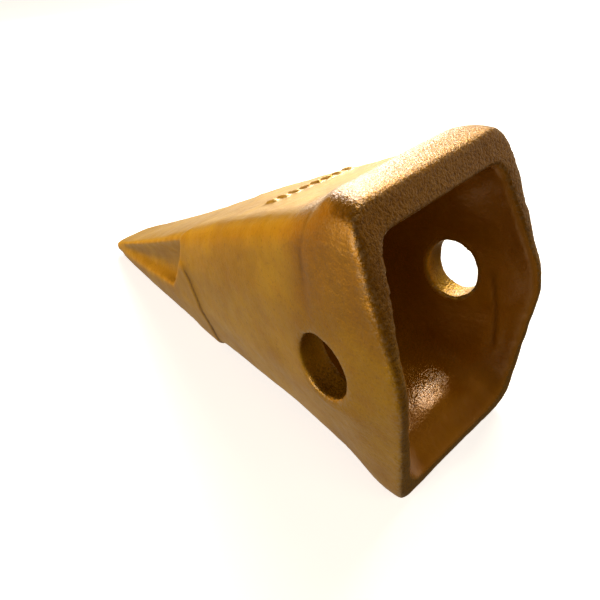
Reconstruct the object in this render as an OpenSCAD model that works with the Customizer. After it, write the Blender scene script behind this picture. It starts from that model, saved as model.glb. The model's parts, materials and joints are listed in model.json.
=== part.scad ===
// Side-pin bucket tooth: one hollow steel casting that slides over an adapter
// nose and is held by a cross pin. Lengths are in millimetres.
//
// The shape is drawn along the pocket: x runs from the tip (negative) to the
// mouth (positive), y across, z up, with the pin axis through x = 0, z = 0.
// The finished casting is then laid on its underside, as it rests on a floor.

/* [Overall] */
// Pin axis to the cutting edge
tip_reach = 264; // [230:1:300]
// Half width of the body at the pin axis
pin_half_w = 49.5; // [46:0.5:54]
// Half width of the cutting edge
edge_half_w = 16; // [12:0.5:22]
// Thickness of the cutting edge
edge_t = 6; // [3:0.5:10]

/* [Pin bores] */
// Bore through each side wall
bore_d = 28.5; // [26:0.5:31]

/* [Mouth] */
// Pin axis to the mouth at its top and bottom edges
mouth_x = 23.5; // [18:0.5:28]
// How far the side ears reach past those edges
ear_reach = 15.5; // [10:0.5:20]
// Top edge of the mouth above the pin axis
mouth_top = 68.5; // [65:0.5:72]
// Bottom edge of the mouth below the pin axis
mouth_bottom = 71; // [66:0.5:74]
// Length of the raised collar round the mouth
collar_w = 22; // [14:1:26]

/* [Pocket] */
// Pin axis to the blind end of the pocket
pocket_reach = 104; // [90:1:115]
// Side wall thickness at the pin axis
wall_t = 12; // [9:0.5:15]
// Top wall thickness
roof_t = 12.5; // [9:0.5:15]

/* [Skirt] */
// How far the wear skirt stands proud of the body
skirt_proud = 1.2; // [1:0.1:3]
// Pin axis to the heel of the skirt
heel_x = 116; // [100:1:125]

/* [Marks] */
// Raised cast marks on the top face
mark_count = 8; // [3:1:8]
// Spacing of the marks
mark_pitch = 5.5; // [4.5:0.5:6]
// Height of the marks
mark_h = 1.2; // [0.5:0.1:1.5]

/* [Hidden] */

arc_steps = 4;      // facets in each rounded corner of a section
far = 400;          // larger than the casting in every direction
side_draft = 7;     // width lost between the parting line and the top edge
tip_z = -19.5;      // top of the cutting edge
tip_x = -tip_reach;
step_x = -173;      // where the underside bends, the front foot of the casting
skirt_x = -248;     // where the skirt starts to grow out of the tip
mark_x = -52;       // middle of the row of marks
mark_y = 6;
mark_turn = 67;     // the row's turn from the tooth's length
mark_l = 7;
mark_w = 2;
mark_tilt = 17;     // the top face's own slope
flat_r = 6;         // where the flat of the side turns into its draft

// ---- how each edge of the body runs from the tip to the mouth ----
function top_z(s) = lookup(s, [
    [tip_x, tip_z],
    [-234, -11.5],
    [-147, 16.2],
    [-108, 29.6],
    [-collar_w, 55.8],
    [-4, 62.3],
    [1, 64.8],
    [5, 68.5],
    [14, mouth_top + 1.5],
    [mouth_x, mouth_top]]);
function bottom_z(s) = lookup(s, [
    [tip_x, tip_z - edge_t],
    [step_x, -39],
    [-120, -47],
    [-42, -53.8],
    [-14, -60.3],
    [1, -66],
    [7, -70.3],
    [mouth_x, -mouth_bottom]]);
// The underside's slope from the front foot to the mouth, on which the casting rests
rest_pitch = atan((mouth_bottom + bottom_z(step_x) - skirt_proud) / (mouth_x - step_x));
function flat_top(s) = lookup(s, [[tip_x, tip_z - 2], [-60, 15], [0, 18], [mouth_x, 8]]);
function flat_bottom(s) = lookup(s, [[tip_x, tip_z - 4], [-60, -18], [0, -22], [mouth_x, -6]]);
function mid_w(s) = lookup(s, [
    [tip_x, edge_half_w],
    [-collar_w, pin_half_w - 2.6],
    [0, pin_half_w],
    [mouth_x, pin_half_w - 0.5]]);
function top_w(s) = lookup(s, [
    [tip_x, edge_half_w - 0.5],
    [-collar_w, pin_half_w - side_draft - 2],
    [mouth_x, 45]]);
function bottom_w(s) = lookup(s, [
    [tip_x, edge_half_w - 0.5],
    [-collar_w, 37],
    [mouth_x, 41.5]]);
function top_r(s) = lookup(s, [[tip_x, 1.2], [-150, 6], [-60, 13], [mouth_x, 10]]);
function bottom_r(s) = lookup(s, [[tip_x, 1.2], [-150, 5], [mouth_x, 9]]);

// ---- sections ----
// A corner c between p and n, rounded to radius r
function unit(v) = v / norm(v);
function rounded(p, c, n, r) =
    let (a = unit(p - c), b = unit(n - c),
         half = acos(a * b) / 2,
         reach = min(r / tan(half), 0.45 * min(norm(p - c), norm(n - c))),
         rad = reach * tan(half),
         o = c + unit(a + b) * (rad / sin(half)),
         from = c + a * reach - o,
         to = c + b * reach - o,
         turn = 180 - 2 * half,
         way = (from[0] * to[1] - from[1] * to[0]) < 0 ? -1 : 1)
    [for (i = [0:arc_steps])
        let (t = way * turn * i / arc_steps)
        o + [from[0] * cos(t) - from[1] * sin(t), from[0] * sin(t) + from[1] * cos(t)]];

// The right half of a section, from the roof's edge down to the keel's edge
function half_section(tw, tz, mw, uz, lz, bw, bz, rt, rb) = concat(
    rounded([0, tz], [tw, tz], [mw, uz], rt),
    rounded([tw, tz], [mw, uz], [mw, lz], flat_r),
    [[mw, (uz + lz) / 2]],
    rounded([mw, uz], [mw, lz], [bw, bz], flat_r),
    rounded([mw, lz], [bw, bz], [0, bz], rb));
function whole(h) = concat(h, [for (i = [len(h) - 1:-1:0]) [-h[i][0], h[i][1]]]);

function body_section(s, grow) = whole(half_section(
    top_w(s) + grow, top_z(s), mid_w(s) + grow, flat_top(s), flat_bottom(s),
    bottom_w(s) + grow, bottom_z(s) - grow, top_r(s), bottom_r(s)));

// The mouth's edge is a blunt V seen from the side: 1 at the ear, 0 at the corners
blunt = 0.32;
function vee(z) =
    let (t = abs(z) / (z > 0 ? mouth_top : mouth_bottom),
         full = sqrt(1 + blunt * blunt) - blunt)
    1 - (sqrt(t * t + blunt * blunt) - blunt) / full;
function lean(s) = ear_reach * lookup(s, [[-70, 0], [-collar_w, 0.6], [0, 1]]);

// Points of a section placed at station s, leaning back with the ears
function ring(s, pts) = [for (p = pts) [s + lean(s) * vee(p[1]), p[0], p[1]]];

// ---- a closed skin over a list of rings, each end ruled straight across ----
module skin(rings) {
    n = len(rings[0]);
    last = len(rings) - 1;
    points = [for (r = rings) for (p = r) p];
    walls = [for (k = [0:last - 1]) for (i = [0:n - 1])
        let (j = (i + 1) % n)
        each [[k * n + i, k * n + j, (k + 1) * n + j],
              [k * n + i, (k + 1) * n + j, (k + 1) * n + i]]];
    strips = [for (i = [0:n / 2 - 2]) [i, i + 1, n - i - 2, n - i - 1]];
    polyhedron(
        points = points,
        faces = concat(
            walls,
            [for (f = strips) [for (i = [len(f) - 1:-1:0]) f[i]]],
            [for (f = strips) [for (i = f) last * n + i]]));
}

// ---- the solid body, before the pocket ----
body_stations = [tip_x, -235, -200, step_x, -150, -120, -90, -66, -42,
                 -collar_w, -14, -6, 1, 4, 7, 12, mouth_x];
module body_skin(grow) skin([for (s = body_stations)
    ring(s, body_section(s, grow * lookup(s, [[tip_x, 0.1], [-200, 1]])))]);

// ---- the hollow that the adapter nose fills ----
function pocket_section(s) = whole(half_section(
    lookup(s, [[-pocket_reach, 18], [0, 31], [mouth_x, 36]]),
    s < -collar_w ? top_z(s) - roof_t
        : lookup(s, [[-collar_w, top_z(-collar_w) - roof_t], [mouth_x, mouth_top - roof_t]]),
    lookup(s, [[-pocket_reach, 23.5], [0, pin_half_w - wall_t], [mouth_x, 43.5]]),
    lookup(s, [[-pocket_reach, 0], [0, 18], [mouth_x, 8]]),
    lookup(s, [[-pocket_reach, -16], [0, -20], [mouth_x, -6]]),
    lookup(s, [[-pocket_reach, 17], [0, 28], [mouth_x, 35]]),
    lookup(s, [[-pocket_reach, -33], [-60, -40], [-6, -48.5], [6, -51], [13, -55],
               [19, -60.5], [mouth_x, -66.5]]),
    7, 12));
pocket_stations = [-pocket_reach, -85, -60, -40, -collar_w, -6, 6, 13, 19, mouth_x + 4];
module pocket() skin([for (s = pocket_stations) ring(s, pocket_section(s))]);

// ---- one hollow in the tip's flank, ended by the shoulder's flat face ----
flank_small = [-258, 20.8, -21];   // centre of the cone near the edge
flank_large = [-127, 51.2, 2.5];   // and at the shoulder
flank_r = [5, 27.8];
shoulder = [-131.5, 0, 2];       // a point on the shoulder's face
shoulder_tilt = 20;
module flank_hollow() {
    way = flank_large - flank_small;
    yaw = atan2(way[1], way[0]);
    pitch = acos(way[2] / norm(way));
    intersection() {
        translate(flank_small) rotate([0, pitch, yaw])
            cylinder(h = norm(way) * 1.3, r1 = flank_r[0],
                     r2 = flank_r[0] + 1.3 * (flank_r[1] - flank_r[0]), $fn = 64);
        translate(shoulder) rotate([0, shoulder_tilt, 0])
            translate([-far, -far / 2, -far / 2]) cube(far);
    }
}

// ---- the wear skirt: the body's own shape grown a little, kept below this outline ----
skirt_outline = [
    [skirt_x, -60], [skirt_x, tip_z - 1], [-150, -15], [-129, 6], [-123, 6],
    [-heel_x - 3, -2], [-heel_x, -14], [-heel_x + 2, -32], [-heel_x, -60]];
module skirt() intersection() {
    body_skin(skirt_proud);
    rotate([90, 0, 0]) linear_extrude(height = far, center = true) polygon(skirt_outline);
}

module cast_marks() for (i = [0:mark_count - 1]) {
    step = (i - (mark_count - 1) / 2) * mark_pitch;
    x = mark_x + step * cos(mark_turn);
    translate([x, mark_y + step * sin(mark_turn), top_z(x)]) rotate([0, -mark_tilt, 0])
        cube([mark_l, mark_w, 2 * mark_h], center = true);
}

// ---- the casting, laid on its underside with the pin axis at the origin ----
module tooth_casting() color("goldenrod") rotate([0, -rest_pitch, 0]) difference() {
    union() {
        difference() {
            body_skin(0);
            flank_hollow();
            mirror([0, 1, 0]) flank_hollow();
        }
        skirt();
        cast_marks();
    }
    pocket();
    rotate([90, 0, 0]) cylinder(h = 3 * pin_half_w, d = bore_d, center = true, $fn = 96);
}

tooth_casting();
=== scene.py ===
"""A cast steel bucket tooth in golden enamel, lying on a pale studio floor.

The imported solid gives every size. Here its skin is rebuilt as one fine mesh, its corners are
softened as a sand mould leaves them, and the enamel over the cast grain is made by nodes.
"""
import json
import math
from functools import partial

import bpy
import numpy as np
from mathutils import Matrix, Vector, noise


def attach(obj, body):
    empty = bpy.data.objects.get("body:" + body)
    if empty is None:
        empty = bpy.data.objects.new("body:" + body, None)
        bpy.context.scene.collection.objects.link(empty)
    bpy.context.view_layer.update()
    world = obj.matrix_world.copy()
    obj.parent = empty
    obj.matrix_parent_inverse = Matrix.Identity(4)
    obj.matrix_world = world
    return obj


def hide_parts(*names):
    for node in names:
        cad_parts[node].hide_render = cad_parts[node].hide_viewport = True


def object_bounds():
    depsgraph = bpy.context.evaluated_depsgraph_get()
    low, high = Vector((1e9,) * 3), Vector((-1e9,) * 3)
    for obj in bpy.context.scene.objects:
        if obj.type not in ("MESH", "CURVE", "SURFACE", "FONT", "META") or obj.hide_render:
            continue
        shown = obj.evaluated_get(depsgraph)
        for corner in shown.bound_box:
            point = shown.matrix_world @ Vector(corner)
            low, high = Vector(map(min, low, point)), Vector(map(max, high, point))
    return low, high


MM = 0.001

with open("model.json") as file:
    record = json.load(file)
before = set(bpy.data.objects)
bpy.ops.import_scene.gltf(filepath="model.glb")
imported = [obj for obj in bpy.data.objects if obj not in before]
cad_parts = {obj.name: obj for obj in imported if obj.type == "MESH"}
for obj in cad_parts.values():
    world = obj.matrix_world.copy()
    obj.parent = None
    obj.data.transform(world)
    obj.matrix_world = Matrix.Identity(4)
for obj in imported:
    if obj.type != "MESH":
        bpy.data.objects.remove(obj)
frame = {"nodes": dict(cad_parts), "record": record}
cad_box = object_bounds()
scene = bpy.context.scene

mounts = {m["name"]: m for m in frame["record"]["mounts"]}
BORE_R = mounts["pin_bore"]["dims"]["r_mm"] * MM
POCKET_WAY = Vector(mounts["nose_pocket"]["axis"]).normalized()

# ---- places along the pocket, in millimetres from the pin: the mouth is ahead, the tip behind ----
TIP = -264
HEEL = -117         # where the wear skirt ends
BLIND_END = -104    # of the pocket
COLLAR_FOOT = -20
RIM = 18            # from here on, all is the mouth's rim

# ---- camera ----
CAMERA_PLACE = (0.1235, -0.1612, 0.1579)
CAMERA_AZIMUTH = 49.77
CAMERA_ELEVATION = 36.86
CAMERA_ROLL = 5.61         # degrees clockwise
LENS = 35.05               # millimetres on a 36 mm sensor


def aim(azimuth, elevation, roll=0.0):
    """The way back to a camera or lamp on this side of its subject, and its turn."""
    a, e = math.radians(azimuth), math.radians(elevation)
    back = Vector((math.sin(a) * math.cos(e), -math.cos(a) * math.cos(e), math.sin(e)))
    level = Vector((math.cos(a), math.sin(a), 0.0))
    turn = Matrix.Rotation(-math.radians(roll), 3, back)
    right = turn @ level
    up = back.cross(right)
    return back, Matrix((right, up, back)).transposed().to_quaternion()


def studio_camera():
    data = bpy.data.cameras.new("studio_camera")
    data.sensor_width = 36
    data.lens = LENS
    data.clip_start = 0.005
    data.clip_end = 50
    camera = bpy.data.objects.new("studio_camera", data)
    camera.rotation_mode = "QUATERNION"
    camera.location = CAMERA_PLACE
    camera.rotation_quaternion = aim(CAMERA_AZIMUTH, CAMERA_ELEVATION, CAMERA_ROLL)[1]
    scene.collection.objects.link(camera)
    scene.camera = camera


# ---- colours and nodes ----
def linear(code, alpha=1.0):
    """An sRGB hex colour as linear numbers."""
    parts = [int(code[i:i + 2], 16) / 255 for i in (1, 3, 5)]
    return [c / 12.92 if c <= 0.04045 else ((c + 0.055) / 1.055) ** 2.4 for c in parts] + [alpha]


def node(tree, kind, inputs, out=0, **settings):
    """Adds a node and gives back one output; an input is a value or another node's output."""
    made = tree.nodes.new(kind)
    for key, value in settings.items():
        setattr(made, key, value)
    for key, value in inputs.items():
        if isinstance(value, bpy.types.NodeSocket):
            tree.links.new(value, made.inputs[key])
        else:
            made.inputs[key].default_value = value
    return made.outputs[out] if made.outputs else None


# ---- the casting's skin ----
VOXEL = 1.1 * MM


def fine_skin(source, name):
    """A copy of the solid's surface as one even, closed mesh."""
    thing = bpy.data.objects.new(name, source.data.copy())
    thing.data.materials.clear()
    scene.collection.objects.link(thing)
    weld = thing.modifiers.new("weld", "WELD")
    weld.merge_threshold = 0.001 * MM
    even = thing.modifiers.new("even", "REMESH")
    even.mode = "VOXEL"
    even.voxel_size = VOXEL
    bpy.context.view_layer.update()
    graph = bpy.context.evaluated_depsgraph_get()
    mesh = bpy.data.meshes.new_from_object(thing.evaluated_get(graph), depsgraph=graph)
    thing.modifiers.clear()
    thing.data = mesh
    return thing


def points_of(mesh):
    flat = np.empty(len(mesh.vertices) * 3)
    mesh.vertices.foreach_get("co", flat)
    return flat.reshape(-1, 3)


def normals_of(mesh):
    flat = np.empty(len(mesh.vertices) * 3, dtype=np.float32)
    mesh.vertex_normals.foreach_get("vector", flat)
    return flat.reshape(-1, 3).astype(float)


def edges_of(mesh):
    flat = np.empty(len(mesh.edges) * 2, dtype=np.int32)
    mesh.edges.foreach_get("vertices", flat)
    return flat.reshape(-1, 2)


def move_to(mesh, points):
    mesh.vertices.foreach_set("co", points.ravel())
    mesh.update()


def soften(points, edges, rounds):
    """Relaxes each point towards its neighbours, for as many rounds as it is given."""
    count = len(points)
    a, b = edges[:, 0], edges[:, 1]
    near = np.bincount(a, minlength=count) + np.bincount(b, minlength=count)
    for step in range(int(np.ceil(rounds.max()))):
        share = np.clip(rounds - step, 0, 1) * 0.5
        moved = np.empty_like(points)
        for axis in range(3):
            line = points[:, axis]
            total = np.bincount(a, line[b], count) + np.bincount(b, line[a], count)
            moved[:, axis] = line + share * (total / near - line)
        points = moved
    return points


def ramp(value, low, high):
    """0 below low, 1 above high, smooth between."""
    t = np.clip((value - low) / (high - low), 0, 1)
    return t * t * (3 - 2 * t)


def ridge(off, width):
    """1 on a line, and 0 well away from it."""
    return np.exp(-(off / width) ** 2)


def wave(points, size, seed):
    """Smooth noise with lumps of about this size, from -1 to 1."""
    shift = Vector((seed * 7.3, seed * 3.1, seed * 5.7))
    return np.array([noise.noise(Vector(p) / size + shift) for p in points])


def lie_of(points):
    """Places along the pocket, in millimetres: along to the mouth, across, and above the pin."""
    along = (points[:, 0] * POCKET_WAY.x + points[:, 2] * POCKET_WAY.z) / MM
    above = (points[:, 2] * POCKET_WAY.x - points[:, 0] * POCKET_WAY.z) / MM
    return along, points[:, 1] / MM, above


casting = fine_skin(frame["nodes"]["tooth_casting"], "tooth_cast_skin")
skin = casting.data
points = points_of(skin)
edges = edges_of(skin)
normals = normals_of(skin)
along, side, above = lie_of(points)
across = np.abs(side)
reach = np.hypot(points[:, 0], points[:, 2])    # from the pin's axis

# which way the skin faces tells the pocket's walls and blind end from the outside
facing_up = normals[:, 2] * POCKET_WAY.x - normals[:, 0] * POCKET_WAY.z
facing_mouth = normals[:, 0] * POCKET_WAY.x + normals[:, 2] * POCKET_WAY.z
middle = np.interp(along, [BLIND_END, 0, 40], [-16, -2, 0])
inward = -(normals[:, 1] * side + facing_up * (above - middle)) / (across + np.abs(above - middle))
off_bore = np.abs(reach - BORE_R) / MM
bore_wall = (1 - ramp(off_bore, 0.8, 2.0)) * ramp(across, 28, 34)
blind_end = ramp(facing_mouth, 0.3, 0.7) * (1 - ramp(np.abs(along - BLIND_END), 3, 6)) * (across < 27)
in_pocket = ramp(inward, -0.05, 0.25) * ramp(along, BLIND_END - 6, BLIND_END)
in_pocket = in_pocket * (1 - ramp(across, 44, 47)) * (1 - bore_wall)
in_pocket = np.maximum(in_pocket, blind_end)
outside = 1 - in_pocket

# how many rounds soften each part: the body's edges are well rounded, the marks stay crisp
near_bore = 1 - ramp(off_bore, 2, 7)
near_rim = ramp(along, RIM - 10, RIM)
near_cheek = near_rim * ramp(across, 38, 44) * (1 - ramp(np.abs(above), 36, 56))
near_flank = 1 - ramp(along, -124, -114)
low_lip = near_flank * (1 - ramp(above, -22, -12)) * (1 - ramp(along, -146, -136))
near_heel = (1 - ramp(np.abs(along - HEEL), 2, 8)) * (1 - ramp(above, 2, 10))
near_marks = ramp(above, 30, 36) * ramp(along, -76, -70) * (1 - ramp(along, -40, -34))
rounds = 45 + 40 * in_pocket
for mask, count in ((near_rim, 10), (near_cheek, 14), (near_flank, 7), (low_lip, 60),
                    (near_bore, 4), (near_heel, 2), (near_marks, 1.5)):
    rounds = rounds + (count - rounds) * mask
points = soften(points, edges, rounds)

# the tip's top plate falls away beside the shoulder, so that the body's rounded edge stands above it
PLATE_FALL = 1.5 * MM
plate = (1 - ramp(along + 1.1 * across, -98, -90)) * ramp(along, TIP, -170)
half_width = np.interp(along, [TIP, -22], [16, 47])
fall = plate * (0.3 + 0.7 * ramp(across / half_width, 0.3, 0.95)) * ramp(above, -16, -4)
points[:, 2] -= PLATE_FALL * fall

# the cored bores come out taller than wide: how much of their size each way, far and near
FAR_PINCH_TIPWARD = 0.16
FAR_PINCH_MOUTHWARD = 0.11
NEAR_PINCH = 0.02
FAR_STRETCH = 0.05
NEAR_STRETCH = 0.08
on_far_side = side > 0
round_bore = (1 - ramp(reach / MM, 15, 26)) * ramp(across, 18, 24)
far_pinch = np.where(points[:, 0] < 0, FAR_PINCH_TIPWARD, FAR_PINCH_MOUTHWARD)
points[:, 0] -= points[:, 0] * np.where(on_far_side, far_pinch, NEAR_PINCH) * round_bore
points[:, 2] += points[:, 2] * np.where(on_far_side, FAR_STRETCH, NEAR_STRETCH) * round_bore

# and their cores sit a little askew, the near mouth low and towards the tip
NEAR_TIPWARD = 1.5 * MM
NEAR_DROP = 3.0 * MM
FAR_RISE = 0.8 * MM
near_mouth = round_bore * ramp(-side, 34, 46)
points[:, 0] -= NEAR_TIPWARD * near_mouth
points[:, 2] -= NEAR_DROP * near_mouth
points[:, 2] += FAR_RISE * round_bore * on_far_side
move_to(skin, points)
normals = normals_of(skin)

# sand-cast unevenness in millimetres: slow waves, hammer-sized dents, and a grain that the collar
# has coarser
collar = ramp(along, COLLAR_FOOT, -6) * outside
grain = (0.30 * wave(points, 30 * MM, 1) + 0.15 * wave(points, 10 * MM, 2)
         + (0.06 + 0.03 * collar) * wave(points, 3.0 * MM, 3)
         + (0.03 + 0.05 * collar) * wave(points, 1.8 * MM, 4))

# a fine seam where the skirt ends, which leans as the heel does
HEEL_ABOVE = [-60, -32, -14, -2, 6]
HEEL_ALONG = [-116, -114, -116, -119, -123]
along, side, above = lie_of(points)
seam = ridge(along - np.interp(above, HEEL_ABOVE, HEEL_ALONG), 0.9)
seam = seam * (1 - ramp(above, 2, 7)) * (1 - ramp(normals[:, 2], 0.2, 0.6))

# a shallower crease round the collar's foot, with the collar a little proud of it
foot_along = np.interp(above, [45, 62], [-6, -0.5])
foot = ridge(along - foot_along, 1.5) * ramp(above, 22, 48) * outside
seam = np.maximum(seam, 0.4 * foot)
lift = ramp(along, -6, 0) * ramp(above, 12, 34) * (1 - ramp(above, 52, 62)) * outside

# and a fine draft line down each side wall of the pocket
draft_along = np.interp(above, [-33, -18, 20], [21.5, 21.5, 19.5])
facing_middle = -normals[:, 1] * np.sign(side)
draft = ridge(along - draft_along, 1.0) * in_pocket * ramp(facing_middle, 0.6, 0.9)
draft = draft * ramp(above, -38, -32) * (1 - ramp(above, -2, 6))
seam = np.maximum(seam, 0.5 * draft)

SEAM_DEPTH_MM = 0.5
COLLAR_LIFT_MM = 0.7
relief = (grain - SEAM_DEPTH_MM * seam + COLLAR_LIFT_MM * lift) * MM
points = points + normals * relief[:, None]
move_to(skin, points)
skin.shade_smooth()
normals = normals_of(skin)

# how far each point stands out of its surroundings, or with a minus lies in them: 1 at half a
# millimetre
settled = soften(points, edges, 14 * np.ones(len(points)))
proud = -np.einsum("ij,ij->i", settled - points, normals) / (0.5 * MM)
standing = np.clip(proud, 0, 1)
pocket_edge = 4 * in_pocket * outside * near_rim

# where the enamel changes, and where painted shade and highlight go, as a number from 0 to 1 for each
# point of the skin
ENAMEL_MASKS = {
    "pocket": in_pocket,
    "collar": collar,
    # painted highlight: lighter on proud edges
    "edge": standing * (1 - near_bore),
    # painted shade: darker where the skin lies below its surroundings
    "crease_shade": np.clip(-proud, 0, 1),
    # the seam lines, also darkened in colour as painted shade
    "seam": seam,
    # the pocket's inner floor, where the enamel pooled
    "floor": in_pocket * ramp(normals[:, 2], 0.2, 0.5) * (1 - ramp(along, 3, 10)),
    # a thicker and darker coat towards the collar's top
    "deep": collar * (0.25 + 0.75 * ramp(above, 0, 40)),
    # sand grit, stronger on the collar's top and rim than on its sides
    "gritty": collar * (1 - 0.8 * ramp(np.abs(normals[:, 1]), 0.3, 0.9)),
    # enamel rubbed thin on the rim's inner edge, and a painted reflection as a pale line along the
    # collar's proud edges
    "rubbed_and_sheen": np.clip(pocket_edge + 0.8 * collar * standing, 0, 1),
}
for name, values in ENAMEL_MASKS.items():
    layer = skin.attributes.new(name, "FLOAT", "POINT")
    layer.data.foreach_set("value", values.astype(np.float32))


# ---- golden enamel over sand-cast steel ----
# patterns in the enamel: size in millimetres, detail, roughness, the range of the noise that is
# used, and what it gives at the range's two ends. Moulding sand is about 0.4 mm, so the patterns
# that come from it are drawn two or three times as coarse, or they wouldn't show.
ENAMEL_PATTERNS = {
    "blotch": (24, 3, 0.5, 0.35, 0.65, 0.0, 1.0),     # uneven spraying
    "streak": (7, 4, 0.6, 0.45, 0.75, 0.0, 0.35),     # runs of thicker enamel
    "wear": (1.6, 2, 0.7, 0.46, 0.58, 0.0, 0.5),      # high grains, rubbed
    "hollow": (1.15, 3, 0.6, 0.38, 0.50, 0.5, 0.0),   # painted shade in the gaps between grit, at the grit bump's low points
    "speck": (1.3, 2, 0.5, 0.30, 0.42, 0.25, 0.0),    # pores that the sand left
    "haze": (9, 3, 0.5, 0.30, 0.70, 0.34, 0.46),      # patches more or less satin, as a roughness
}
# and the sizes of its bumps: grit, lumps of the mould's face, and ripples where enamel pooled
GRIT_MM = 1.15
LUMP_MM = 4.5
RIPPLE_MM = 1.9


def golden_enamel():
    """Gold-pigmented enamel, sprayed thick: a satin metallic body under a clear skin. It shows
    the sand grain below, is rubbed pale on the rim's inner edge, and pools dark and glossy in
    the pocket. Its colour also holds painted light: painted shade in the pocket, creases, seams
    and the grit's gaps, a painted highlight on proud edges, and a painted reflection along the
    collar's proud edges."""
    material = bpy.data.materials.new("golden enamel on sand-cast steel")
    material.use_nodes = True
    tree = material.node_tree
    tree.nodes.clear()
    add = partial(node, tree)
    place = add("ShaderNodeTexCoord", {}, out="Object")
    mask = {name: add("ShaderNodeAttribute", {}, out="Fac", attribute_name=name)
            for name in ENAMEL_MASKS}
    pattern = {}
    for name, (size_mm, detail, roughness, *span) in ENAMEL_PATTERNS.items():
        raw = add("ShaderNodeTexNoise", {"Vector": place, "Scale": 1 / (size_mm * MM),
                                         "Detail": detail, "Roughness": roughness})
        pattern[name] = add("ShaderNodeMapRange", {0: raw, 1: span[0], 2: span[1],
                                                   3: span[2], 4: span[3]})

    # the painted highlight on proud edges stays off the collar, and pores stay out of the pocket
    edge_share = add("ShaderNodeMix", {0: mask["collar"], 2: 0.30, 3: 0.0})
    off_pocket = add("ShaderNodeMath", {0: 1.0, 1: mask["pocket"]}, operation="SUBTRACT")

    # each tone over the last: where it shows, how much of it, and its colour
    colour = linear("#b08208")
    for where, share, tone in (
            (pattern["blotch"], 1.0, "#c29510"),
            (pattern["streak"], 1.0, "#a86a10"),
            (mask["deep"], 0.75, "#956206"),
            # darker and more orange in the pocket: pooled enamel, and painted shade in the recess
            (mask["pocket"], 0.60, "#a05c02"),
            # painted shade in creases and hollows
            (mask["crease_shade"], 0.55, "#6e4308"),
            # painted shade along the skirt's seam, the collar's foot and the pocket's draft lines
            (mask["seam"], 0.75, "#4a2c06"),
            # painted highlight on proud edges
            (mask["edge"], edge_share, "#dca650"),
            # rubbed enamel on the rim's inner edge, and a painted reflection on the collar's proud
            # edges
            (mask["rubbed_and_sheen"], pattern["wear"], "#b8a488"),
            # painted shade in the grit's gaps
            (mask["gritty"], pattern["hollow"], "#5a3a06"),
            (off_pocket, pattern["speck"], "#6b4310")):
        amount = add("ShaderNodeMath", {0: where, 1: share}, operation="MULTIPLY")
        colour = add("ShaderNodeMix", {0: amount, 6: colour, 7: linear(tone)}, out=2,
                     data_type="RGBA")

    # more flake of metal on the collar, and less where the enamel pooled deep
    metal = add("ShaderNodeMix", {0: mask["pocket"], 2: 0.5, 3: 0.3})
    metal = add("ShaderNodeMix", {0: mask["collar"], 2: metal, 3: 0.7})
    rough = add("ShaderNodeMix", {0: mask["pocket"], 2: pattern["haze"], 3: 0.27})

    # the clear skin: full on the pocket's floor, thin on the body
    on_walls = add("ShaderNodeMath", {0: mask["pocket"], 1: 0.45}, operation="MULTIPLY")
    on_grit = add("ShaderNodeMath", {0: mask["gritty"], 1: 0.6}, operation="MULTIPLY")
    coat = add("ShaderNodeMix", {0: mask["floor"], 2: on_walls, 3: 1.0})
    for least in (on_grit, 0.12):
        coat = add("ShaderNodeMath", {0: coat, 1: least}, operation="MAXIMUM")

    # the bumps: grit all over, strongest on the collar, with lumps and the pocket floor's ripples
    grit_share = add("ShaderNodeMix", {0: mask["gritty"], 2: 0.10, 3: 0.48})
    wall_ripple = add("ShaderNodeMath", {0: mask["pocket"], 1: 0.06}, operation="MULTIPLY")
    ripple_share = add("ShaderNodeMix", {0: mask["floor"], 2: wall_ripple, 3: 0.28})
    height = 0.0
    for size_mm, detail, roughness, share in ((GRIT_MM, 3, 0.6, grit_share),
                                              (LUMP_MM, 2, 0.5, 0.18),
                                              (RIPPLE_MM, 3, 0.6, ripple_share)):
        raw = add("ShaderNodeTexNoise", {"Vector": place, "Scale": 1 / (size_mm * MM),
                                         "Detail": detail, "Roughness": roughness})
        height = add("ShaderNodeMath", {0: raw, 1: share, 2: height}, operation="MULTIPLY_ADD")
    bump = add("ShaderNodeBump", {"Height": height, "Strength": 1.0, "Distance": 1 * MM})

    shader = add("ShaderNodeBsdfPrincipled", {
        "Base Color": colour, "Metallic": metal, "Roughness": rough,
        "Coat Weight": coat, "Coat Roughness": 0.09, "Normal": bump, "Coat Normal": bump})
    add("ShaderNodeOutputMaterial", {"Surface": shader})
    return material


skin.materials.clear()
skin.materials.append(golden_enamel())
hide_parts("tooth_casting")
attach(casting, "root")


# ---- studio ----
FLOOR_HALF = 6.0
SUBJECT = Vector((-0.05, 0, 0))    # what the lamps look at

# azimuth, elevation, distance, width, height, watts, colour, and whether gloss mirrors the lamp
LAMPS = {
    "back_soft_box": (200, 53, 1.2, 0.7, 0.7, 12.5, "#fff4dc", True),
    "small_back_box": (207, 48, 1.1, 0.16, 0.16, 1.8, "#fffcf2", True),
    "far_low_strip": (231, 21, 1.1, 0.4, 0.3, 7.5, "#ffffff", True),
    "front_fill": (-14, 4, 0.5, 0.4, 0.2, 1.0, "#fff0d8", True),
    "mouth_fill": (90, 30, 0.7, 0.4, 0.4, 1.0, "#ffe2b0", False),
}

# soft light from far off: azimuth, elevation, angles where it is full and gone, strength, colour
GLOWS = {
    "paper behind the far side": (220, -18, 18, 36, 1.30, "#ffebc8"),
    "warm card on the left": (-82, 0, 10, 33, 1.35, "#ffc646"),
    "paper in front": (-38, -55, 20, 60, 0.40, "#fff4e0"),
    "paper beyond the mouth": (162, 6, 12, 32, 0.45, "#fff0dc"),
}
ROOM_TINT = "#ffd695"
ROOM_STRENGTH = 0.10


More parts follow.
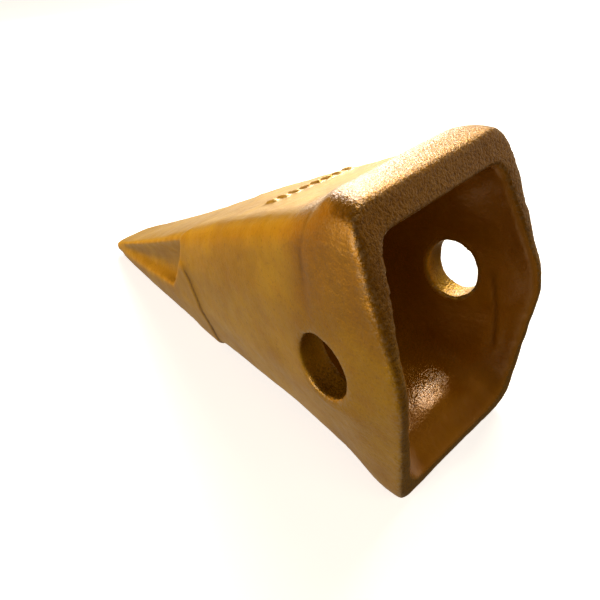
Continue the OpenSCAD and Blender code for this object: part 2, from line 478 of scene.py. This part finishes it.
def pale_floor():
    """White paper that glows a little, so that it stays pale far from the lamps."""
    z = cad_box[0][2]
    corners = [(x * FLOOR_HALF, y * FLOOR_HALF, z) for x, y in ((-1, -1), (1, -1), (1, 1), (-1, 1))]
    data = bpy.data.meshes.new("studio_floor")
    data.from_pydata(corners, [], [(0, 1, 2, 3)])
    floor = bpy.data.objects.new("studio_floor", data)
    scene.collection.objects.link(floor)
    material = bpy.data.materials.new("white studio paper")
    material.use_nodes = True
    shader = material.node_tree.nodes["Principled BSDF"]
    shader.inputs["Base Color"].default_value = linear("#f7f6f4")
    shader.inputs["Emission Color"].default_value = linear("#ffffff")
    shader.inputs["Emission Strength"].default_value = 0.75
    shader.inputs["Roughness"].default_value = 0.9
    data.materials.append(material)
    floor.visible_diffuse = False
    floor.visible_glossy = False
    floor.visible_shadow = False


def soft_box(name, azimuth, elevation, distance, width, height, watts, colour, mirrored):
    data = bpy.data.lights.new(name, "AREA")
    data.shape = "RECTANGLE"
    data.size = width
    data.size_y = height
    data.energy = watts
    data.color = linear(colour)[:3]
    lamp = bpy.data.objects.new(name, data)
    back, turn = aim(azimuth, elevation)
    lamp.rotation_mode = "QUATERNION"
    lamp.rotation_quaternion = turn
    lamp.location = SUBJECT + back * distance
    lamp.visible_glossy = mirrored
    scene.collection.objects.link(lamp)


def white_room():
    """White where the camera looks past the tooth, and soft glows for what lights it."""
    world = bpy.data.worlds.new("white room")
    scene.world = world
    world.use_nodes = True
    tree = world.node_tree
    tree.nodes.clear()
    add = partial(node, tree)
    way = add("ShaderNodeTexCoord", {}, out="Generated")
    total = Vector(linear(ROOM_TINT)[:3]) * ROOM_STRENGTH
    for azimuth, elevation, full, gone, strength, colour in GLOWS.values():
        near = add("ShaderNodeVectorMath", {0: way, 1: aim(azimuth, elevation)[0]}, out="Value",
                   operation="DOT_PRODUCT")
        glow = add("ShaderNodeMapRange", {
            0: near, 1: math.cos(math.radians(gone)), 2: math.cos(math.radians(full)),
            3: 0.0, 4: strength}, interpolation_type="SMOOTHSTEP")
        lit = add("ShaderNodeVectorMath", {0: linear(colour)[:3], "Scale": glow}, operation="SCALE")
        total = add("ShaderNodeVectorMath", {0: total, 1: lit})
    seen = add("ShaderNodeLightPath", {}, out="Is Camera Ray")
    fill = add("ShaderNodeBackground", {"Color": total, "Strength": 1.0})
    paper = add("ShaderNodeBackground", {"Color": linear("#ffffff"), "Strength": 1.0})
    both = add("ShaderNodeMixShader", {0: seen, 1: fill, 2: paper})
    add("ShaderNodeOutputWorld", {"Surface": both})


studio_camera()
pale_floor()
white_room()
for name, settings in LAMPS.items():
    soft_box(name, *settings)
scene.view_settings.view_transform = "Standard"
